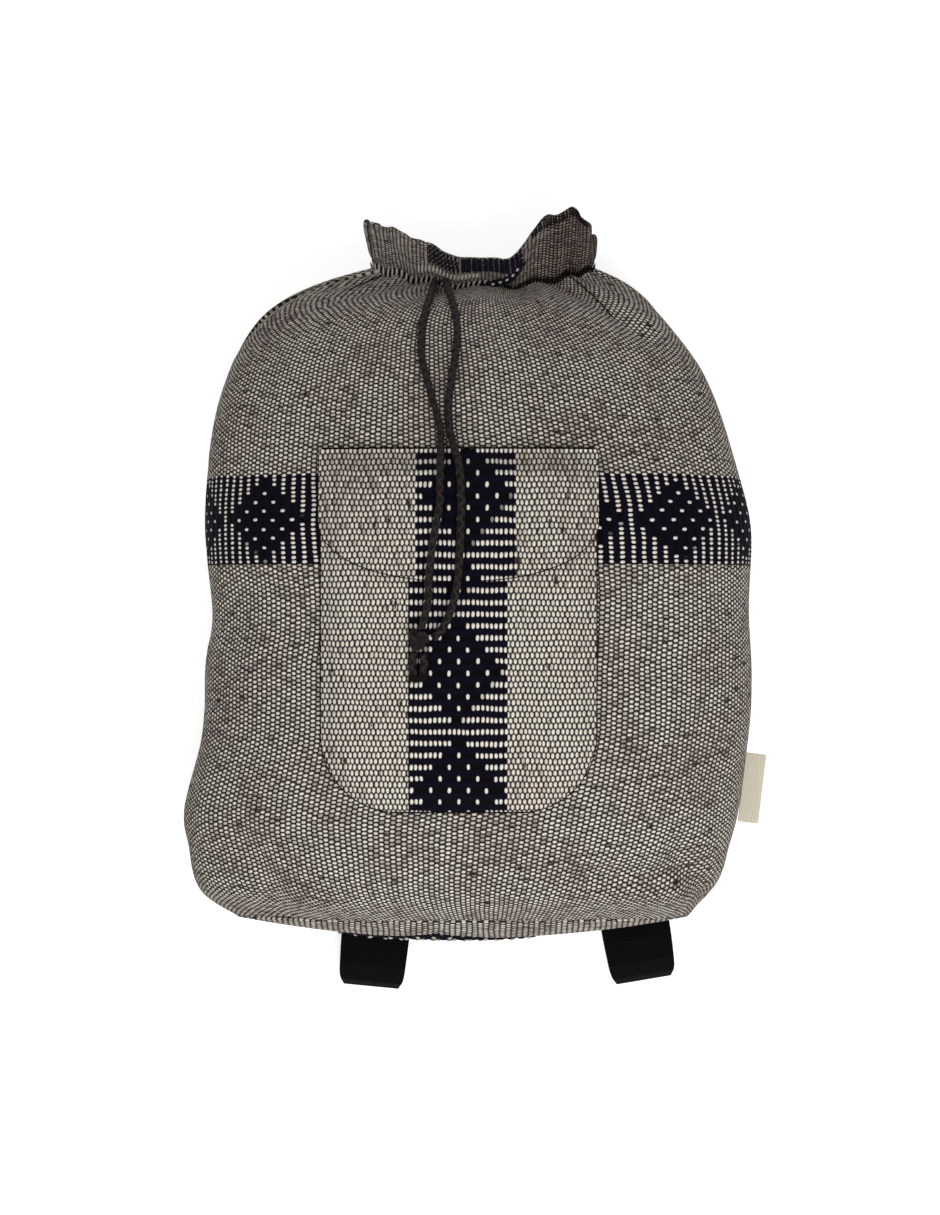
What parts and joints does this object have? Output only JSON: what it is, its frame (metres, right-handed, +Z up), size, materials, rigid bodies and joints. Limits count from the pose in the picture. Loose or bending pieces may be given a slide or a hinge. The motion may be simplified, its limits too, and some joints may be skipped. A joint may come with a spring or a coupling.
{
  "type": "drawstring backpack",
  "caption": "Soft hand-woven drawstring backpack lying on its back, stuffed, with a flap pocket, a band of diamonds and flat webbing straps.",
  "frame": {"origin": "middle of the footprint on the table under the bag lying on its back", "axes": "+Y from the base to the mouth, +X to the right seen from the front, +Z up out of the front pocket"},
  "size_m": [0.3191, 0.4342, 0.1762],
  "materials": {
    "woven_grey": "coarse plain weave of cream yarn on dark warp",
    "woven_cream": "coarse plain weave of cream yarn on dark warp, turned upright",
    "black_webbing": "ribbed matt webbing",
    "black_nylon": "satin moulded",
    "black_cord": "braided cotton cord",
    "cream_ribbon": "satin woven ribbon, blank"
  },
  "bodies": {
    "root": {"front_panel": "woven_grey", "back_panel": "woven_grey", "base_panel": "woven_grey", "drawstring_casing": "woven_grey", "pocket_pouch": "woven_cream", "pocket_flap": "woven_cream", "side_tab": "cream_ribbon", "upper_strap_left": "black_webbing", "lower_strap_left": "black_webbing", "strap_buckle_left": "black_nylon", "upper_strap_right": "black_webbing", "lower_strap_right": "black_webbing", "strap_buckle_right": "black_nylon", "drawstring_left": "black_cord", "drawstring_right": "black_cord", "drawstring_knot": "black_cord", "drawstring_end_left": "black_cord", "drawstring_end_right": "black_cord"}
  },
  "joints": []
}
